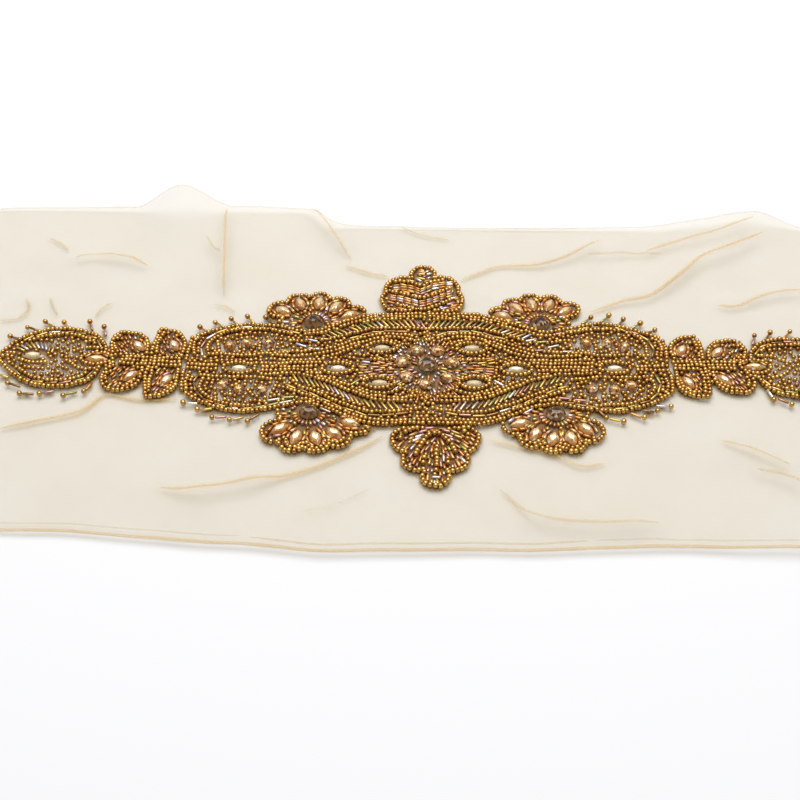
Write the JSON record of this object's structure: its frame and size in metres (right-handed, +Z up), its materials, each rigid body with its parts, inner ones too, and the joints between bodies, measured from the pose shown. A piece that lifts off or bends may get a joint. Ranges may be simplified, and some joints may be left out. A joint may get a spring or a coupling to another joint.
{
  "type": "beaded belt",
  "caption": "Beaded belt laid flat: a strip of fine net with a brooch-like centre panel, flowers, shells, leaves and eye-shaped motifs of beads and stones.",
  "frame": {"origin": "on the table, under the middle of the whole net's box", "axes": "+X along the belt, +Y towards its far long edge, +Z up from the table it lies on"},
  "size_m": [0.516, 0.2259, 0.0153],
  "materials": {
    "net": "fine translucent cream net",
    "bronze_beads": "bronze metallic-coated seed beads",
    "bugles": "iridescent-coated glass tubes",
    "clear_stones": "clear, slightly milky glass",
    "peach_stones": "foil-backed peach glass",
    "smoky_stones": "foil-backed smoky glass"
  },
  "bodies": {
    "root": {"net_ground": "net", "centre_panel": "bronze_beads", "shell_far": "bronze_beads", "shell_near": "bronze_beads", "flower_far_left": "bronze_beads", "flower_far_right": "bronze_beads", "flower_near_left": "bronze_beads", "flower_near_right": "bronze_beads", "stem_left": "bronze_beads", "eye_motif_left": "bronze_beads", "end_leaf_left": "bronze_beads", "leaf_inner_far_left": "bronze_beads", "leaf_outer_far_left": "bronze_beads", "fringe_lobe_far_left": "bugles", "fringe_eye_far_left": "bugles", "leaf_inner_near_left": "bronze_beads", "leaf_outer_near_left": "bronze_beads", "fringe_lobe_near_left": "bugles", "fringe_eye_near_left": "bugles", "stem_right": "bronze_beads", "eye_motif_right": "bronze_beads", "end_leaf_right": "bronze_beads", "leaf_inner_far_right": "bronze_beads", "leaf_outer_far_right": "bronze_beads", "fringe_lobe_far_right": "bugles", "fringe_eye_far_right": "bugles", "leaf_inner_near_right": "bronze_beads", "leaf_outer_near_right": "bronze_beads", "fringe_lobe_near_right": "bugles", "fringe_eye_near_right": "bugles", "brooch_setting": "peach_stones", "brooch_stone": "smoky_stones", "flower_stone_far_left": "smoky_stones", "flower_stone_far_right": "smoky_stones", "flower_stone_near_left": "smoky_stones", "flower_stone_near_right": "smoky_stones", "clear_navette_inner_left": "clear_stones", "clear_navette_outer_left": "clear_stones", "clear_navette_far_left": "clear_stones", "clear_navette_near_left": "clear_stones", "clear_navette_inner_right": "clear_stones", "clear_navette_outer_right": "clear_stones", "clear_navette_far_right": "clear_stones", "clear_navette_near_right": "clear_stones", "eye_navette_peach_left": "peach_stones", "eye_navette_milky_left": "clear_stones", "eye_navette_peach_right": "peach_stones", "eye_navette_milky_right": "clear_stones", "leaf_navette_inner_far_left": "peach_stones", "leaf_navette_outer_far_left": "peach_stones", "leaf_navette_inner_near_left": "peach_stones", "leaf_navette_outer_near_left": "peach_stones", "leaf_navette_inner_far_right": "peach_stones", "leaf_navette_outer_far_right": "peach_stones", "leaf_navette_inner_near_right": "peach_stones", "leaf_navette_outer_near_right": "peach_stones"}
  },
  "joints": []
}
